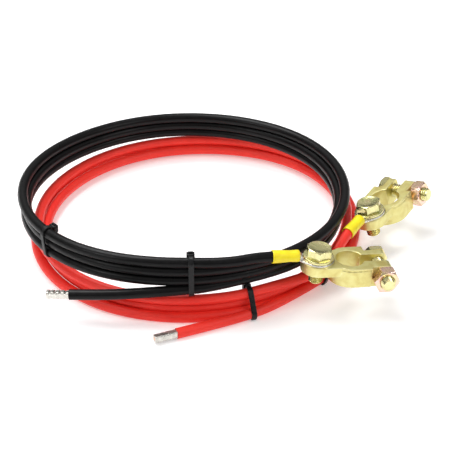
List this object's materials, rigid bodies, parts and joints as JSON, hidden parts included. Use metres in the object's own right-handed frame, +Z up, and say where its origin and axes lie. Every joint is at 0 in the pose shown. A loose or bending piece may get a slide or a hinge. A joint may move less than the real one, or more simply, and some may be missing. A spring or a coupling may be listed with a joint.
{
  "type": "battery lead pair",
  "caption": "Pair of coiled solar battery leads, black and red, each with a brass post clamp on a ring terminal and a crimped ferrule.",
  "frame": {"origin": "middle of the footprint, on the floor that the red coil lies on", "axes": "+X towards the clamps' side, +Y away from the front of the coils where both ferrules end, +Z up, along the coils' common axis"},
  "size_m": [0.2458, 0.2202, 0.042],
  "materials": {
    "black_sheath": "satin",
    "red_sheath": "satin",
    "cast_brass": "satin cast",
    "zinc_plate": "yellow passivated zinc",
    "zinc_nut": "iridescent passivated zinc",
    "tinned_copper": "tin plate",
    "copper_strands": "bright",
    "yellow_sleeve": "satin",
    "tie_nylon": "satin"
  },
  "bodies": {
    "red_lead": {"red_coil": "red_sheath", "red_lug_cable": "red_sheath", "red_tail_cable": "red_sheath", "red_ring_terminal": "tinned_copper", "red_terminal_sleeve": "yellow_sleeve", "red_lug_core": "copper_strands", "red_ferrule": "tinned_copper", "red_ferrule_core": "copper_strands", "red_front_tie": "tie_nylon", "red_side_tie": "tie_nylon"},
    "red_clamp": {"red_clamp": "cast_brass"},
    "red_lug_washer": {"red_lug_washer": "zinc_plate"},
    "red_lug_bolt": {"red_lug_bolt": "zinc_plate"},
    "red_pinch_bolt": {"red_pinch_bolt": "zinc_plate"},
    "red_pinch_nut": {"red_pinch_nut": "zinc_nut"},
    "black_lead": {"black_coil": "black_sheath", "black_lug_cable": "black_sheath", "black_tail_cable": "black_sheath", "black_ring_terminal": "tinned_copper", "black_terminal_sleeve": "yellow_sleeve", "black_lug_core": "copper_strands", "black_ferrule": "tinned_copper", "black_ferrule_core": "copper_strands", "black_front_tie": "tie_nylon", "black_side_tie": "tie_nylon"},
    "black_clamp": {"black_clamp": "cast_brass"},
    "black_lug_washer": {"black_lug_washer": "zinc_plate"},
    "black_lug_bolt": {"black_lug_bolt": "zinc_plate"},
    "black_pinch_bolt": {"black_pinch_bolt": "zinc_plate"},
    "black_pinch_nut": {"black_pinch_nut": "zinc_nut"}
  },
  "joints": [
    {"name": "black_lead_lift", "type": "slide", "parent": "red_lead", "child": "black_lead", "axis": [0, 0, 1], "range_m": [0, 0.06]},
    {"name": "red_clamp_swivel", "type": "hinge", "parent": "red_lead", "child": "red_clamp", "pos_m": [0.08462, -0.00945, 0.0243], "axis": [-0.2045, -0.0068, 0.9788], "range_deg": [-90, 8]},
    {"name": "red_lug_bolt_travel", "type": "slide", "parent": "red_clamp", "child": "red_lug_washer", "axis": [-0.2045, -0.0068, 0.9788], "range_m": [0, 0.0051]},
    {"name": "red_lug_bolt_spin", "type": "hinge", "parent": "red_lug_washer", "child": "red_lug_bolt", "pos_m": [0.08462, -0.00945, 0.0243], "axis": [-0.2045, -0.0068, 0.9788], "range_deg": [0, 1440]},
    {"name": "red_pinch_bolt_spin", "type": "hinge", "parent": "red_clamp", "child": "red_pinch_bolt", "pos_m": [0.10489, 0.02148, 0.0215], "axis": [-0.8311, 0.5295, -0.1699], "range_deg": [0, 900]},
    {"name": "red_pinch_nut_travel", "type": "slide", "parent": "red_clamp", "child": "red_pinch_nut", "axis": [0.8311, -0.5295, 0.1699], "range_m": [0, 0.00323]},
    {"name": "black_clamp_swivel", "type": "hinge", "parent": "black_lead", "child": "black_clamp", "pos_m": [0.05112, -0.07455, 0.0332], "axis": [0.0924, -0.0139, 0.9956], "range_deg": [-100, 14]},
    {"name": "black_lug_bolt_travel", "type": "slide", "parent": "black_clamp", "child": "black_lug_washer", "axis": [0.0924, -0.0139, 0.9956], "range_m": [0, 0.0051]},
    {"name": "black_lug_bolt_spin", "type": "hinge", "parent": "black_lug_washer", "child": "black_lug_bolt", "pos_m": [0.05112, -0.07455, 0.0332], "axis": [0.0924, -0.0139, 0.9956], "range_deg": [0, 1440]},
    {"name": "black_pinch_bolt_spin", "type": "hinge", "parent": "black_clamp", "child": "black_pinch_bolt", "pos_m": [0.08573, -0.066, 0.02298], "axis": [-0.2299, 0.9726, 0.0349], "range_deg": [0, 900]},
    {"name": "black_pinch_nut_travel", "type": "slide", "parent": "black_clamp", "child": "black_pinch_nut", "axis": [0.2299, -0.9726, -0.0349], "range_m": [0, 0.00323]}
  ],
  "couplings": [
    {"joint": "red_lug_bolt_travel", "follows": "red_lug_bolt_spin", "m_per_rad": 0.00019894},
    {"joint": "red_pinch_nut_travel", "follows": "red_pinch_bolt_spin", "m_per_rad": 0.00019894},
    {"joint": "black_lug_bolt_travel", "follows": "black_lug_bolt_spin", "m_per_rad": 0.00019894},
    {"joint": "black_pinch_nut_travel", "follows": "black_pinch_bolt_spin", "m_per_rad": 0.00019894}
  ]
}
